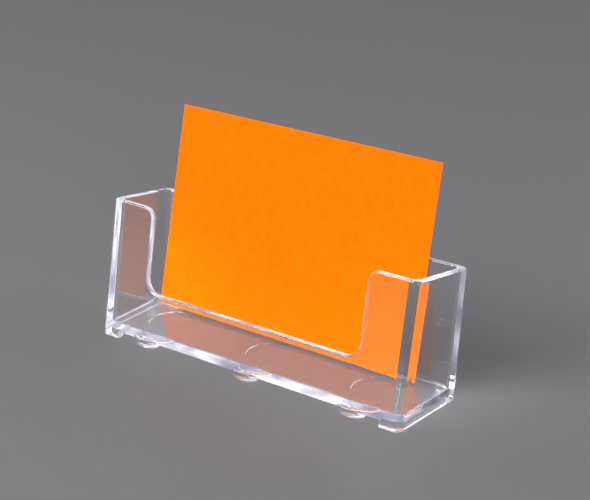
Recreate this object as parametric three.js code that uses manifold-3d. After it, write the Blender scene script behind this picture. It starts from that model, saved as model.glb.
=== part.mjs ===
// Desktop holder for business cards, moulded in one piece of clear plastic, with one card in it.
// Millimetres, +Z up, X along the width, the open front faces -Y.
// The origin is the middle of the whole part's box, on the surface that it stands on.

import * as THREE from 'three';
import { mergeVertices } from 'three/addons/utils/BufferGeometryUtils.js';
import Module from 'manifold-3d';

const wasm = await Module();
wasm.setup();

// Driving dimensions of the holder
const BASE_WIDTH = 99.8;
const BASE_DEPTH = 24;
const FRONT_HEIGHT = 36.4;
const BACK_HEIGHT = 33.3;
const FRONT_LEAN = 0.222; // backward lean of the front wall, in mm for each mm of height
const BACK_LEAN = 0.15; // backward lean of the back wall
const SIDE_DRAFT = 0.0105; // outward draft of each side wall
const WALL = 2;
const OUTER_CORNER_RADIUS = 2;
const INNER_CORNER_RADIUS = 2;
const FLOOR_TOP = 3.2;
const FLOOR_UNDERSIDE = 1.7;

// Window in the front wall, through which the card is read and pushed out.
// It is cut square to the wall, and its depth is measured down the wall from the rim.
const WINDOW_DEPTH = 22.3;
const WINDOW_HALF_WIDTH = 35.4;
const WINDOW_FILLET = 4;
const HORN_ROUNDING = 3.2;

// What the holder stands on: the two end skirts, and three feet under the front wall.
// A foot is the front part of a tapered disc, cut off flat in line with the wall's inner face.
const SKIRT_RETURN = 6; // how far each end skirt runs round the corner, along the front and the back
const FOOT_PITCH = 34.4;
const FOOT_RADIUS = 4.8;
const FOOT_TOP = 2.6;
const FOOT_TAPER = 0.7; // how much smaller the disc's radius is where it stands
const FOOT_PROUD = 0.5; // how far a foot stands out past the line of the front edge

// Shallow round marks that the mould's ejector pins leave in the floor, one behind each foot
const PIN_MARK_RADIUS = 6;
const PIN_MARK_DEPTH = 0.2;

// The card
const CARD_WIDTH = 85;
const CARD_HEIGHT = 55;
const CARD_THICKNESS = 0.4;
const CARD_LEAN = THREE.MathUtils.degToRad(14.7);
const CARD_OFFSET = -3; // the card stands a little left of the middle
const CLEARANCE = 0.3;

const CLEAR = 60; // the length of a cutting tool that runs past both sides
const ROUND_STEPS = 40;
const ARC_STEPS = 7;

function toSolid(geometry) {
  geometry.deleteAttribute('normal');
  geometry.deleteAttribute('uv');
  const merged = mergeVertices(geometry, 1e-4);
  return new wasm.Manifold(new wasm.Mesh({
    numProp: 3,
    vertProperties: new Float32Array(merged.attributes.position.array),
    triVerts: new Uint32Array(merged.index.array),
  }));
}

function toGeometry(solid) {
  const mesh = solid.getMesh();
  const geometry = new THREE.BufferGeometry();
  geometry.setAttribute('position', new THREE.BufferAttribute(mesh.vertProperties, 3));
  geometry.setIndex(new THREE.BufferAttribute(mesh.triVerts, 1));
  const flat = geometry.toNonIndexed();
  flat.computeVertexNormals();
  return flat;
}

function roundedRectangle(width, depth, radius) {
  const x = width / 2;
  const y = depth / 2;
  const shape = new THREE.Shape();
  shape.moveTo(-x + radius, -y);
  shape.lineTo(x - radius, -y);
  shape.absarc(x - radius, -y + radius, radius, -Math.PI / 2, 0);
  shape.lineTo(x, y - radius);
  shape.absarc(x - radius, y - radius, radius, 0, Math.PI / 2);
  shape.lineTo(-x + radius, y);
  shape.absarc(-x + radius, y - radius, radius, Math.PI / 2, Math.PI);
  shape.lineTo(-x, -y + radius);
  shape.absarc(-x + radius, -y + radius, radius, Math.PI, 1.5 * Math.PI);
  return shape;
}

// Every upright face follows this rule: the front leans back most, the back least,
// and the two sides spread by their draft.
function leanAt(y) {
  return THREE.MathUtils.lerp(FRONT_LEAN, BACK_LEAN, y / BASE_DEPTH + 0.5);
}

function leanOver(geometry) {
  const position = geometry.attributes.position;
  for (let i = 0; i < position.count; i += 1) {
    const [x, y, z] = [position.getX(i), position.getY(i), position.getZ(i)];
    position.setX(i, x * (1 + (SIDE_DRAFT * z) / (BASE_WIDTH / 2)));
    position.setY(i, y + leanAt(y) * z);
  }
  return geometry;
}

// The rim lies in one plane. This is its height above a point of the base outline,
// counted along the leaning wall that rises from there.
function rimHeight(y) {
  const frontY = -BASE_DEPTH / 2 + FRONT_LEAN * FRONT_HEIGHT;
  const backY = BASE_DEPTH / 2 + BACK_LEAN * BACK_HEIGHT;
  const slope = (FRONT_HEIGHT - BACK_HEIGHT) / (backY - frontY);
  return (FRONT_HEIGHT - slope * (y - frontY)) / (1 + slope * leanAt(y));
}

function upright(shape, low, high) {
  const geometry = new THREE.ExtrudeGeometry(shape, {
    depth: high - low,
    bevelEnabled: false,
    curveSegments: ARC_STEPS,
  });
  return geometry.translate(0, 0, low);
}

// The block that the holder fills, with its rim sloping down from the front to the back
function outerBlock() {
  const plan = roundedRectangle(BASE_WIDTH, BASE_DEPTH, OUTER_CORNER_RADIUS);
  const geometry = upright(plan, 0, FRONT_HEIGHT);
  const position = geometry.attributes.position;
  for (let i = 0; i < position.count; i += 1) {
    if (position.getZ(i) > 0) {
      position.setZ(i, rimHeight(position.getY(i)));
    }
  }
  return toSolid(leanOver(geometry));
}

function innerPlan() {
  return roundedRectangle(BASE_WIDTH - 2 * WALL, BASE_DEPTH - 2 * WALL, INNER_CORNER_RADIUS);
}

function pocket() {
  return toSolid(leanOver(upright(innerPlan(), FLOOR_TOP, FRONT_HEIGHT + CLEAR / 10)));
}

// Under the floor the ends are closed by skirts, and the front and back are open between them.
function underside() {
  const between = new THREE.BoxGeometry(BASE_WIDTH - 2 * SKIRT_RETURN, CLEAR, FLOOR_UNDERSIDE * 2);
  const inside = upright(innerPlan(), -FLOOR_UNDERSIDE, FLOOR_UNDERSIDE);
  return toSolid(between).add(toSolid(leanOver(inside)));
}

// Drawn with the rim at zero height, then turned about the front rim to lean with the wall
function frontWindow() {
  const side = WINDOW_HALF_WIDTH;
  const above = CLEAR / 10;
  const fillet = -WINDOW_DEPTH + WINDOW_FILLET;
  const shape = new THREE.Shape();
  shape.moveTo(side + HORN_ROUNDING, above);
  shape.lineTo(-side - HORN_ROUNDING, above);
  shape.lineTo(-side - HORN_ROUNDING, 0);
  shape.absarc(-side - HORN_ROUNDING, -HORN_ROUNDING, HORN_ROUNDING, Math.PI / 2, 0, true);
  shape.lineTo(-side, fillet);
  shape.absarc(-side + WINDOW_FILLET, fillet, WINDOW_FILLET, Math.PI, 1.5 * Math.PI);
  shape.lineTo(side - WINDOW_FILLET, -WINDOW_DEPTH);
  shape.absarc(side - WINDOW_FILLET, fillet, WINDOW_FILLET, -Math.PI / 2, 0);
  shape.lineTo(side, -HORN_ROUNDING);
  shape.absarc(side + HORN_ROUNDING, -HORN_ROUNDING, HORN_ROUNDING, Math.PI, Math.PI / 2, true);
  const geometry = new THREE.ExtrudeGeometry(shape, {
    depth: 3 * WALL,
    bevelEnabled: false,
    curveSegments: ARC_STEPS,
  });
  geometry.translate(0, 0, -2 * WALL);
  geometry.rotateX(Math.PI / 2 - Math.atan(FRONT_LEAN));
  return toSolid(geometry.translate(0, -BASE_DEPTH / 2 + FRONT_LEAN * FRONT_HEIGHT, FRONT_HEIGHT));
}

function disc(topRadius, bottomRadius, low, high, x, y) {
  const geometry = new THREE.CylinderGeometry(topRadius, bottomRadius, high - low, ROUND_STEPS);
  geometry.rotateX(Math.PI / 2);
  return toSolid(geometry.translate(x, y, (low + high) / 2));
}

function foot(x) {
  const frontEdge = -BASE_DEPTH / 2;
  const behind = new THREE.BoxGeometry(CLEAR, CLEAR, CLEAR);
  behind.translate(x, frontEdge + WALL + CLEAR / 2, 0);
  const y = frontEdge - FOOT_PROUD + FOOT_RADIUS;
  return disc(FOOT_RADIUS, FOOT_RADIUS - FOOT_TAPER, 0, FOOT_TOP, x, y).subtract(toSolid(behind));
}

function pinMark(x) {
  return disc(PIN_MARK_RADIUS, PIN_MARK_RADIUS, FLOOR_TOP - PIN_MARK_DEPTH, FLOOR_TOP + WALL, x, 0);
}

function cardHolder() {
  let solid = outerBlock().subtract(pocket()).subtract(underside()).subtract(frontWindow());
  for (const x of [-FOOT_PITCH, 0, FOOT_PITCH]) {
    solid = solid.add(foot(x)).subtract(pinMark(x));
  }
  const material = new THREE.MeshStandardMaterial({
    color: 0xe6e8f2,
    roughness: 0.05,
    metalness: 0,
    transparent: true,
    opacity: 0.35,
  });
  const mesh = new THREE.Mesh(toGeometry(solid), material);
  mesh.name = 'card_holder';
  return mesh;
}

// The card leans back until it nearly meets the top inner edge of the back wall.
function card() {
  const innerBack = BASE_DEPTH / 2 - WALL;
  const rimY = innerBack + leanAt(innerBack) * BACK_HEIGHT;
  const footZ = FLOOR_TOP + CLEARANCE;
  const standOff = CLEARANCE + CARD_THICKNESS / 2;
  const footY = rimY - (BACK_HEIGHT - footZ) * Math.tan(CARD_LEAN) - standOff / Math.cos(CARD_LEAN);
  const geometry = new THREE.BoxGeometry(CARD_WIDTH, CARD_THICKNESS, CARD_HEIGHT);
  geometry.translate(0, 0, CARD_HEIGHT / 2);
  const material = new THREE.MeshStandardMaterial({ color: 0xff8000, roughness: 0.85, metalness: 0 });
  const mesh = new THREE.Mesh(geometry, material);
  mesh.name = 'card';
  mesh.rotation.x = -CARD_LEAN;
  mesh.position.set(CARD_OFFSET, footY, footZ + (CARD_THICKNESS / 2) * Math.sin(CARD_LEAN));
  return mesh;
}

const holderWithCard = new THREE.Group();
holderWithCard.add(cardHolder(), card());
const middle = new THREE.Box3().setFromObject(holderWithCard, true).getCenter(new THREE.Vector3());
holderWithCard.position.set(-middle.x, -middle.y, 0);

export default holderWithCard;
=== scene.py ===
import math

import bmesh
import bpy
from mathutils import Matrix, Vector


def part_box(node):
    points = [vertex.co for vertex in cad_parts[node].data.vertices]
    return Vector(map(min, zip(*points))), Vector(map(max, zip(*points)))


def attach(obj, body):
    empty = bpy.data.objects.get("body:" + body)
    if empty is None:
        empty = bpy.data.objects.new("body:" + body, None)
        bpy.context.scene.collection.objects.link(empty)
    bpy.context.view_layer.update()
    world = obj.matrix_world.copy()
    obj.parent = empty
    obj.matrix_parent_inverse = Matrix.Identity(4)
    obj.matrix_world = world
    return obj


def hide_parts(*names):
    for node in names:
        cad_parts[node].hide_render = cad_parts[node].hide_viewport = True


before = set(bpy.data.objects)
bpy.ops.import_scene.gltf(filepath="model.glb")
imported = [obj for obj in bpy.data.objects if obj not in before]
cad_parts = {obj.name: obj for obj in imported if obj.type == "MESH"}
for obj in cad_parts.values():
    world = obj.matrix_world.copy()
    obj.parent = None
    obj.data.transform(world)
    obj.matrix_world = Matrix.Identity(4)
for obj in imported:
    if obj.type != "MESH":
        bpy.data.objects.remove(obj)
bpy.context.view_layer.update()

MM = 0.001

# The holder, in metres. Its place from front to back and its height come from the frame.
HOLDER_LOW, HOLDER_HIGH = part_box("card_holder")
BASE_WIDTH = 99.8 * MM
BASE_DEPTH = 24.0 * MM
FRONT_HEIGHT = HOLDER_HIGH.z
BACK_HEIGHT = 33.3 * MM
FRONT_LEAN = 0.222  # backward lean of the front wall, for each unit of height
BACK_LEAN = 0.15  # backward lean of the back wall
SIDE_DRAFT = 0.0105  # outward draft of each side wall
WALL = 2.0 * MM
OUTER_RADIUS = 2.0 * MM
INNER_RADIUS = 2.0 * MM
FLOOR_TOP = 3.2 * MM
FLOOR_UNDERSIDE = 1.7 * MM

# The window in the front wall. Its depth is measured down the wall from the rim.
WINDOW_DEPTH = 22.3 * MM
WINDOW_HALF_WIDTH = 35.4 * MM
WINDOW_FILLET = 4.0 * MM
HORN_ROUNDING = 3.2 * MM

# What the holder stands on, and the round marks in its floor
SKIRT_RETURN = 6.0 * MM  # how far each end skirt runs round the corner
FOOT_PITCH = 34.4 * MM
FOOT_RADIUS = 4.8 * MM
FOOT_TOP = 2.6 * MM
FOOT_PROUD = 0.5 * MM  # how far a foot stands out past the line of the front edge
PIN_MARK_RADIUS = 6.0 * MM
PIN_MARK_DEPTH = 0.2 * MM

# Rounded edges
EDGE_RADIUS = 0.35 * MM  # the bottom edges of the walls
LIP_RADIUS = 0.5 * MM  # where the way under the floor leaves the walls
RIM_EDGE = 0.7 * MM  # the rim and the window
FOOT_EDGE = 1.0 * MM
FLOOR_FILLET = 0.7 * MM  # between the pocket's floor and its walls

# Worked out from those. The holder is made with its base outline's middle at Y = 0, then moved.
MIDDLE_Y = HOLDER_LOW.y + FOOT_PROUD + BASE_DEPTH / 2
FRONT_RIM_Y = -BASE_DEPTH / 2 + FRONT_LEAN * FRONT_HEIGHT
BACK_RIM_Y = BASE_DEPTH / 2 + BACK_LEAN * BACK_HEIGHT
RIM_SLOPE = (FRONT_HEIGHT - BACK_HEIGHT) / (BACK_RIM_Y - FRONT_RIM_Y)

# How the mesh is made
ARC_STEPS = 12
DISC_STEPS = 96
EDGE_STEPS = 5
BEYOND = 6.0 * MM  # how far a cutting tool runs past the solid
MERGE_DISTANCE = 0.002 * MM
SHARP_ANGLE = 35.0  # degrees, above which an edge stays hard

# The card. Its place and width come from the frame.
CARD_LOW, CARD_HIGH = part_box("card")
CARD_LEAN = math.radians(14.7)
CARD_HEIGHT = 55.0 * MM
CARD_THICKNESS = 0.4 * MM
CARD_COLUMNS = 34
CARD_ROWS = 22

# Looks. A shade is (place on the noise, colour).
PLASTIC_IOR = 1.59
PLASTIC_TINT = (0.97, 0.97, 0.985, 1)
PLASTIC_ROUGHNESS = (0.0, 0.03)
SHADOW_TINT = (0.985, 0.985, 0.985, 1)  # what the plastic lets through of a lamp's light
TRAPPED_BOUNCES = 2.5  # after more mirror bounces than this, light counts as trapped
# Painted light: pale streaked colours that stand in for the light the plastic pipes to its edges and
# rims. The lamps still light them.
PIPED_LIGHT_PAINT_SHADES = ((0.38, (0.56, 0.55, 0.62, 1)), (0.62, (0.96, 0.96, 0.98, 1)))
CARD_SHADES = ((0.3, (0.95, 0.17, 0.0, 1)), (0.7, (1.0, 0.195, 0.0, 1)))
CARD_ROUGHNESS = (0.72, 0.9)
CARD_SPECULAR = 0.04
TABLE_SHADES = ((0.0, (0.099, 0.101, 0.105, 1)), (1.0, (0.113, 0.114, 0.117, 1)))
TABLE_ROUGHNESS = 0.7

# Noise patterns: scale, detail and roughness
STREAKS = (130, 3, 0.5)
WAVES = (45, 2, 0.5)
MOTTLE = (420, 4, 0.6)
FIBRES = (2600, 5, 0.7)
TABLE_TONE = (3, 2, 0.5)

# The stage
TABLE_HALF_WIDTH = 3.0
FLOOR_GAP = 0.05 * MM  # how far the table lies below the feet
WORLD_COLOUR = (1.0, 0.99, 1.0, 1)
WORLD_STRENGTH = 0.6
WHITE = (1, 1, 1)
COOL_WHITE = (0.93, 0.95, 1)

# Name, place, what it shines at, width and height, watts and colour
SOFTBOXES = (
    ("key", (-0.35, -0.42, 0.62), (0, 0, 0), (0.5, 0.5), 6.5, WHITE),
    ("fill", (0.75, 0.1, 0.45), (0, 0, 0), (0.5, 0.6), 2.5, WHITE),
    ("strip_front", (0.5, -0.36, 0.19), (0, 0, 0.02), (0.12, 0.34), 1.0, COOL_WHITE),
    ("strip_back", (0.45, 0.34, 0.19), (0, 0, 0.02), (0.22, 0.34), 1.2, COOL_WHITE),
)

# The camera: its place from the middle of the holder's front bottom edge, and its angles
SENSOR_WIDTH = 36.0
FOCAL_LENGTH = 112.3505085
NEAR_CLIP = 0.01
YAW = 0.7065
PITCH = 0.3779
ROLL = -0.0333
FRONT_EDGE = Vector((0, MIDDLE_Y - BASE_DEPTH / 2, 0))
CAMERA_PLACE = FRONT_EDGE + Vector((285.12, -311.10, 202.51)) * MM


# Outlines

def arc(cx, cy, radius, start, end, steps=ARC_STEPS):
    """Points on an arc, in degrees, with both ends."""
    points = []
    for i in range(steps + 1):
        angle = math.radians(start + (end - start) * i / steps)
        points.append((cx + radius * math.cos(angle), cy + radius * math.sin(angle)))
    return points


def circle(x, y, radius):
    return arc(x, y, radius, 0, 360 - 360 / DISC_STEPS, DISC_STEPS - 1)


def rounded_rectangle(width, depth, radius, inset):
    """Each side moves in by the inset. The corner arcs keep their centres."""
    x, y, r = width / 2 - radius, depth / 2 - radius, radius - inset
    return (arc(x, -y, r, -90, 0) + arc(x, y, r, 0, 90)
            + arc(-x, y, r, 90, 180) + arc(-x, -y, r, 180, 270))


def window_outline(grow):
    """Across and up from the rim. The window grows by this much all round."""
    side, fillet, horn = WINDOW_HALF_WIDTH, WINDOW_FILLET, HORN_ROUNDING
    right = (arc(side - fillet, fillet - WINDOW_DEPTH, fillet + grow, -90, 0)
             + arc(side + horn, -horn, horn - grow, 180, 90)
             + [(side + horn, BEYOND)])
    return right + [(-x, h) for x, h in reversed(right)]


def rounding(radius):
    """Steps over a rounded edge, each (how far along, how far in), from its outer end."""
    steps = []
    for i in range(EDGE_STEPS + 1):
        angle = math.pi / 2 * i / EDGE_STEPS
        steps.append((radius * (1 - math.cos(angle)), radius * (1 - math.sin(angle))))
    return steps


# Rings of points, made from outlines

def lean_at(y):
    """How much an upright face leans back that rises from here."""
    return FRONT_LEAN + (BACK_LEAN - FRONT_LEAN) * (y / BASE_DEPTH + 0.5)


def lean_over(x, y, z):
    """Where the face that rises from here is at this height. The sides spread by their draft."""
    return (x * (1 + SIDE_DRAFT * z / (BASE_WIDTH / 2)), y + lean_at(y) * z, z)


def rim_height(y):
    """Where the face that rises from here meets the sloping plane of the rim."""
    return (FRONT_HEIGHT - RIM_SLOPE * (y - FRONT_RIM_Y)) / (1 + RIM_SLOPE * lean_at(y))


def leaning(outline, z):
    return [lean_over(x, y, z) for x, y in outline]


def below_rim(outline, down):
    return [lean_over(x, y, rim_height(y) - down) for x, y in outline]


def level(outline, z):
    return [(x, y, z) for x, y in outline]


# Solids and their tools

def add_object(name, data):
    made = bpy.data.objects.new(name, data)
    bpy.context.scene.collection.objects.link(made)
    return made


def add_mesh(name, bm):
    mesh = bpy.data.meshes.new(name)
    bm.to_mesh(mesh)
    bm.free()
    return add_object(name, mesh)


def loft(name, rings):
    """A closed solid through these rings. The first and the last are its ends."""
    bm = bmesh.new()
    rows = [[bm.verts.new(point) for point in ring] for ring in rings]
    count = len(rows[0])
    for low, high in zip(rows, rows[1:]):
        for i in range(count):
            following = (i + 1) % count
            bm.faces.new((low[i], low[following], high[following], high[i]))
    bm.faces.new(reversed(rows[0]))
    bm.faces.new(rows[-1])
    bmesh.ops.recalc_face_normals(bm, faces=bm.faces)
    return add_mesh(name, bm)


def apply_modifiers(piece):
    graph = bpy.context.evaluated_depsgraph_get()
    mesh = bpy.data.meshes.new_from_object(piece.evaluated_get(graph))
    old = piece.data
    piece.modifiers.clear()
    piece.data = mesh
    bpy.data.meshes.remove(old)


def combine(target, tool, operation):
    step = target.modifiers.new("combine", "BOOLEAN")
    step.object = tool
    step.operation = operation
    step.solver = "MANIFOLD"
    apply_modifiers(target)
    mesh = tool.data
    bpy.data.objects.remove(tool)
    bpy.data.meshes.remove(mesh)


def clean(piece):
    """Joins points that the cuts left almost together, and splits faces of over four sides."""
    bm = bmesh.new()
    bm.from_mesh(piece.data)
    bmesh.ops.remove_doubles(bm, verts=bm.verts, dist=MERGE_DISTANCE)
    bmesh.ops.dissolve_degenerate(bm, edges=bm.edges, dist=MERGE_DISTANCE)
    bmesh.ops.triangulate(bm, faces=[f for f in bm.faces if len(f.verts) > 4])
    bm.to_mesh(piece.data)
    bm.free()


def shade(piece):
    """Smooth shading that keeps flat faces flat, with hard edges above SHARP_ANGLE."""
    piece.data.shade_smooth()
    piece.data.set_sharp_from_angle(angle=math.radians(SHARP_ANGLE))
    weigh = piece.modifiers.new("weigh", "WEIGHTED_NORMAL")
    weigh.mode = "FACE_AREA"
    weigh.weight = 100
    weigh.keep_sharp = True
    apply_modifiers(piece)


# The holder

def outer_block():
    def plan(inset):
        return rounded_rectangle(BASE_WIDTH, BASE_DEPTH, OUTER_RADIUS, inset)

    base = [leaning(plan(inset), up) for up, inset in rounding(EDGE_RADIUS)]
    rim = [below_rim(plan(inset), down) for down, inset in reversed(rounding(RIM_EDGE))]
    return loft("clear_holder", base + rim)


def inner_plan(inset=0.0):
    return rounded_rectangle(BASE_WIDTH - 2 * WALL, BASE_DEPTH - 2 * WALL, INNER_RADIUS, inset)


def pocket():
    base = [leaning(inner_plan(inset), FLOOR_TOP + up) for up, inset in rounding(FLOOR_FILLET)]
    flare = [below_rim(inner_plan(-inset), down) for down, inset in reversed(rounding(RIM_EDGE))]
    above = [below_rim(inner_plan(-RIM_EDGE), -BEYOND)]
    return loft("pocket", base + flare + above)


def end_recess():
    """The hollow under the floor, inside the skirts."""
    below = [leaning(inner_plan(-EDGE_RADIUS), -BEYOND)]
    flare = [leaning(inner_plan(-inset), up) for up, inset in rounding(EDGE_RADIUS)]
    ceiling = [leaning(inner_plan(), FLOOR_UNDERSIDE)]
    return loft("end_recess", below + flare + ceiling)


def cross_recess():
    """The way under the floor from front to back, with rounded edges where it leaves the walls."""
    front = -BASE_DEPTH / 2 + FRONT_LEAN * FLOOR_UNDERSIDE
    back = BASE_DEPTH / 2 + BACK_LEAN * FLOOR_UNDERSIDE
    top = FLOOR_UNDERSIDE + LIP_RADIUS
    lip = rounding(LIP_RADIUS)
    profile = [(front - BEYOND, -BEYOND), (back + BEYOND, -BEYOND), (back + BEYOND, top)]
    profile += [(back - along, FLOOR_UNDERSIDE + up) for up, along in reversed(lip)]
    profile += [(front + along, FLOOR_UNDERSIDE + up) for up, along in lip]
    profile += [(front - BEYOND, top)]
    half = BASE_WIDTH / 2 - SKIRT_RETURN
    return loft("cross_recess", [[(x, y, z) for y, z in profile] for x in (-half, half)])


def window():
    """Cut square to the front wall, with rounded edges at both of its faces."""
    to_rim = Matrix.Translation((0, FRONT_RIM_Y, FRONT_HEIGHT))
    turn = to_rim @ Matrix.Rotation(-math.atan(FRONT_LEAN), 4, "X")
    inner_lean = lean_at(-BASE_DEPTH / 2 + WALL) - FRONT_LEAN
    edge = rounding(RIM_EDGE)

    def outer_ring(grow, into):
        return [turn @ Vector((x, into, h)) for x, h in window_outline(grow)]

    def inner_ring(grow, into):
        return [turn @ Vector((x, WALL + inner_lean * (FRONT_HEIGHT + h) - into, h))
                for x, h in window_outline(grow)]

    rings = [outer_ring(RIM_EDGE, -BEYOND)]
    rings += [outer_ring(grow, into) for into, grow in edge]
    rings += [inner_ring(grow, into) for into, grow in reversed(edge)]
    rings += [inner_ring(RIM_EDGE, -WALL)]
    return loft("window", rings)


def foot(x):
    """The front part of a disc, flat behind in line with the wall's inner face."""
    front = -BASE_DEPTH / 2
    y = front - FOOT_PROUD + FOOT_RADIUS

    def ring(inset, z):
        radius = FOOT_RADIUS - inset
        half = math.degrees(math.acos((y - front - WALL + inset) / radius))
        return level(arc(x, y, radius, -90 - half, -90 + half, 3 * ARC_STEPS), z)

    return loft("foot", [ring(inset, up) for up, inset in rounding(FOOT_EDGE)] + [ring(0, FOOT_TOP)])


def pin_mark(x):
    """A shallow round dent in the floor, with a sloping side."""
    slope = PIN_MARK_DEPTH / 2
    bottom = level(circle(x, 0, PIN_MARK_RADIUS - slope), FLOOR_TOP - PIN_MARK_DEPTH)
    top = level(circle(x, 0, PIN_MARK_RADIUS + slope), FLOOR_TOP + PIN_MARK_DEPTH)
    return loft("pin_mark", [bottom, top])


def build_holder():
    holder = outer_block()
    for tool in (pocket, end_recess, cross_recess, window):
        combine(holder, tool(), "DIFFERENCE")
    for x in (-FOOT_PITCH, 0, FOOT_PITCH):
        combine(holder, foot(x), "UNION")
        combine(holder, pin_mark(x), "DIFFERENCE")
    clean(holder)
    holder.data.transform(Matrix.Translation((0, MIDDLE_Y, 0)))
    shade(holder)
    return holder


# The card

def build_card():
    """A thin card with crisp cut edges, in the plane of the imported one."""
    bm = bmesh.new()
    width = CARD_HIGH.x - CARD_LOW.x
    grid = bmesh.ops.create_grid(bm, x_segments=CARD_COLUMNS, y_segments=CARD_ROWS, size=0.5)
    for v in grid["verts"]:
        v.co = Vector((v.co.x * width, 0, (v.co.y + 0.5) * CARD_HEIGHT))
    bm.normal_update()
    bmesh.ops.solidify(bm, geom=list(bm.faces), thickness=CARD_THICKNESS)
    card = add_mesh("orange_card", bm)
    mesh = card.data
    front = min(v.co.y for v in mesh.vertices)
    mesh.transform(Matrix.Translation((0, -front, 0)))
    mesh.transform(Matrix.Rotation(-CARD_LEAN, 4, "X"))
    front = min(v.co.y for v in mesh.vertices)
    bottom = min(v.co.z for v in mesh.vertices)
    corner = Vector(((CARD_LOW.x + CARD_HIGH.x) / 2, CARD_LOW.y, CARD_LOW.z))
    mesh.transform(Matrix.Translation(corner - Vector((0, front, bottom))))
    return card


# Materials

def material(name):
    made = bpy.data.materials.new(name)
    made.use_nodes = True
    nodes = made.node_tree.nodes
    return made, nodes, made.node_tree.links, nodes["Principled BSDF"]


def noise(nodes, links, pattern):
    scale, detail, roughness = pattern
    place = nodes.new("ShaderNodeTexCoord")
    made = nodes.new("ShaderNodeTexNoise")
    made.inputs["Scale"].default_value = scale
    made.inputs["Detail"].default_value = detail
    made.inputs["Roughness"].default_value = roughness
    links.new(place.outputs["Object"], made.inputs["Vector"])
    return made.outputs["Fac"]


def colour_by(nodes, links, pattern, shades, socket):
    """Colours a socket by a noise pattern, from the first shade to the second."""
    ramp = nodes.new("ShaderNodeValToRGB")
    for element, (place, colour) in zip(ramp.color_ramp.elements, shades):
        element.position = place
        element.color = colour
    links.new(pattern, ramp.inputs["Fac"])
    links.new(ramp.outputs["Color"], socket)


def roughen_by(nodes, links, pattern, limits, shader):
    rough = nodes.new("ShaderNodeMapRange")
    rough.inputs["To Min"].default_value, rough.inputs["To Max"].default_value = limits
    links.new(pattern, rough.inputs["Value"])
    links.new(rough.outputs["Result"], shader.inputs["Roughness"])


def raise_by(nodes, links, pattern, strength, depth, shader):
    relief = nodes.new("ShaderNodeBump")
    relief.inputs["Strength"].default_value = strength
    relief.inputs["Distance"].default_value = depth
    links.new(pattern, relief.inputs["Height"])
    links.new(relief.outputs["Normal"], shader.inputs["Normal"])


def mix(nodes, links, factor, first, second):
    made = nodes.new("ShaderNodeMixShader")
    links.new(factor, made.inputs["Fac"])
    links.new(first, made.inputs[1])
    links.new(second, made.inputs[2])
    return made.outputs["Shader"]


def let_light_through(nodes, links, shader):
    """Lamps reach the card through the plastic. Light trapped by total internal reflection would
    run out of bounces and turn black, so it meets a pale streaked diffuse surface instead, lit by the
    lamps: painted light that stands in for the light the plastic pipes to its edges and rims."""
    path = nodes.new("ShaderNodeLightPath")
    trapped = nodes.new("ShaderNodeMath")
    trapped.operation = "GREATER_THAN"
    trapped.inputs[1].default_value = TRAPPED_BOUNCES
    links.new(path.outputs["Glossy Depth"], trapped.inputs[0])
    # Painted light: a pale streaked diffuse surface stands in for light piped inside the plastic.
    painted_glow_diffuse = nodes.new("ShaderNodeBsdfDiffuse")
    colour_by(nodes, links, noise(nodes, links, STREAKS), PIPED_LIGHT_PAINT_SHADES, painted_glow_diffuse.inputs["Color"])
    clear = nodes.new("ShaderNodeBsdfTransparent")
    clear.inputs["Color"].default_value = SHADOW_TINT
    # Trapped rays get the painted glow in place of the clear plastic.
    edges = mix(nodes, links, trapped.outputs["Value"], shader.outputs["BSDF"], painted_glow_diffuse.outputs["BSDF"])
    surface = mix(nodes, links, path.outputs["Is Shadow Ray"], edges, clear.outputs["BSDF"])
    links.new(surface, nodes["Material Output"].inputs["Surface"])


def clear_plastic():
    made, nodes, links, shader = material("clear_polystyrene")
    shader.inputs["Base Color"].default_value = PLASTIC_TINT
    shader.inputs["Transmission Weight"].default_value = 1
    shader.inputs["IOR"].default_value = PLASTIC_IOR
    waves = noise(nodes, links, WAVES)
    roughen_by(nodes, links, waves, PLASTIC_ROUGHNESS, shader)
    raise_by(nodes, links, waves, 0.35, 0.15 * MM, shader)
    let_light_through(nodes, links, shader)
    return made


def card_paper():
    made, nodes, links, shader = material("orange_card_paper")
    colour_by(nodes, links, noise(nodes, links, MOTTLE), CARD_SHADES, shader.inputs["Base Color"])
    fibres = noise(nodes, links, FIBRES)
    roughen_by(nodes, links, fibres, CARD_ROUGHNESS, shader)
    raise_by(nodes, links, fibres, 0.25, 0.05 * MM, shader)
    shader.inputs["Specular IOR Level"].default_value = CARD_SPECULAR
    return made


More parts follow.
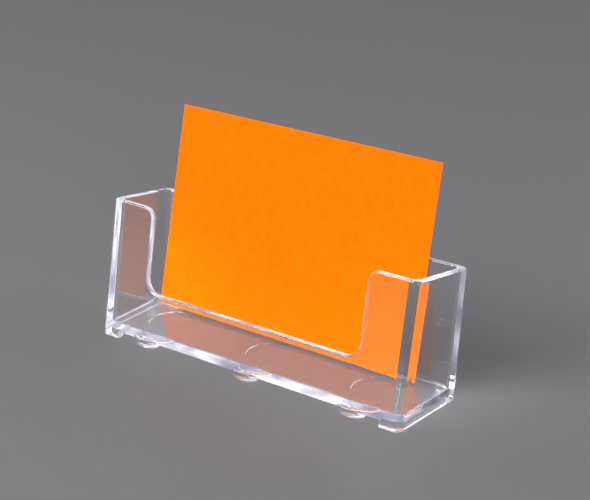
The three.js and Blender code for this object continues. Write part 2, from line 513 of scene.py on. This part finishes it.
def grey_surface():
    made, nodes, links, shader = material("grey_table")
    colour_by(nodes, links, noise(nodes, links, TABLE_TONE), TABLE_SHADES, shader.inputs["Base Color"])
    shader.inputs["Roughness"].default_value = TABLE_ROUGHNESS
    return made


def dress(piece, made):
    piece.data.materials.clear()
    piece.data.materials.append(made)


# Stage, lights and camera

def floor():
    half = TABLE_HALF_WIDTH
    bm = bmesh.new()
    corners = [(-half, -half), (half, -half), (half, half), (-half, half)]
    bm.faces.new([bm.verts.new((x, y, -FLOOR_GAP)) for x, y in corners])
    table = add_mesh("table", bm)
    dress(table, grey_surface())


def softbox(name, place, aim, size, power, colour):
    lamp = bpy.data.lights.new(name, "AREA")
    lamp.shape = "RECTANGLE"
    lamp.size, lamp.size_y = size
    lamp.energy = power
    lamp.color = colour
    piece = add_object(name, lamp)
    piece.location = place
    piece.visible_camera = False
    piece.rotation_euler = (Vector(aim) - Vector(place)).to_track_quat("-Z", "Y").to_euler()


def studio():
    world = bpy.data.worlds.new("studio")
    bpy.context.scene.world = world
    world.use_nodes = True
    background = world.node_tree.nodes["Background"]
    background.inputs["Color"].default_value = WORLD_COLOUR
    background.inputs["Strength"].default_value = WORLD_STRENGTH
    bpy.context.scene.view_settings.view_transform = "Standard"


def camera():
    data = bpy.data.cameras.new("camera")
    data.sensor_width = SENSOR_WIDTH
    data.lens = FOCAL_LENGTH
    data.clip_start = NEAR_CLIP
    piece = add_object("camera", data)
    right = Vector((math.cos(YAW), math.sin(YAW), 0))
    ahead = Vector((-math.sin(YAW), math.cos(YAW), 0))
    forward = math.cos(PITCH) * ahead - Vector((0, 0, math.sin(PITCH)))
    up = right.cross(forward)
    rolled_right = math.cos(ROLL) * right + math.sin(ROLL) * up
    rolled_up = math.cos(ROLL) * up - math.sin(ROLL) * right
    turn = Matrix((rolled_right, rolled_up, -forward)).transposed().to_4x4()
    piece.matrix_world = Matrix.Translation(CAMERA_PLACE) @ turn
    bpy.context.scene.camera = piece


holder = build_holder()
dress(holder, clear_plastic())
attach(holder, "holder")
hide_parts("card_holder")

card = build_card()
dress(card, card_paper())
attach(card, "card")
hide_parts("card")

floor()
for light in SOFTBOXES:
    softbox(*light)
studio()
camera()
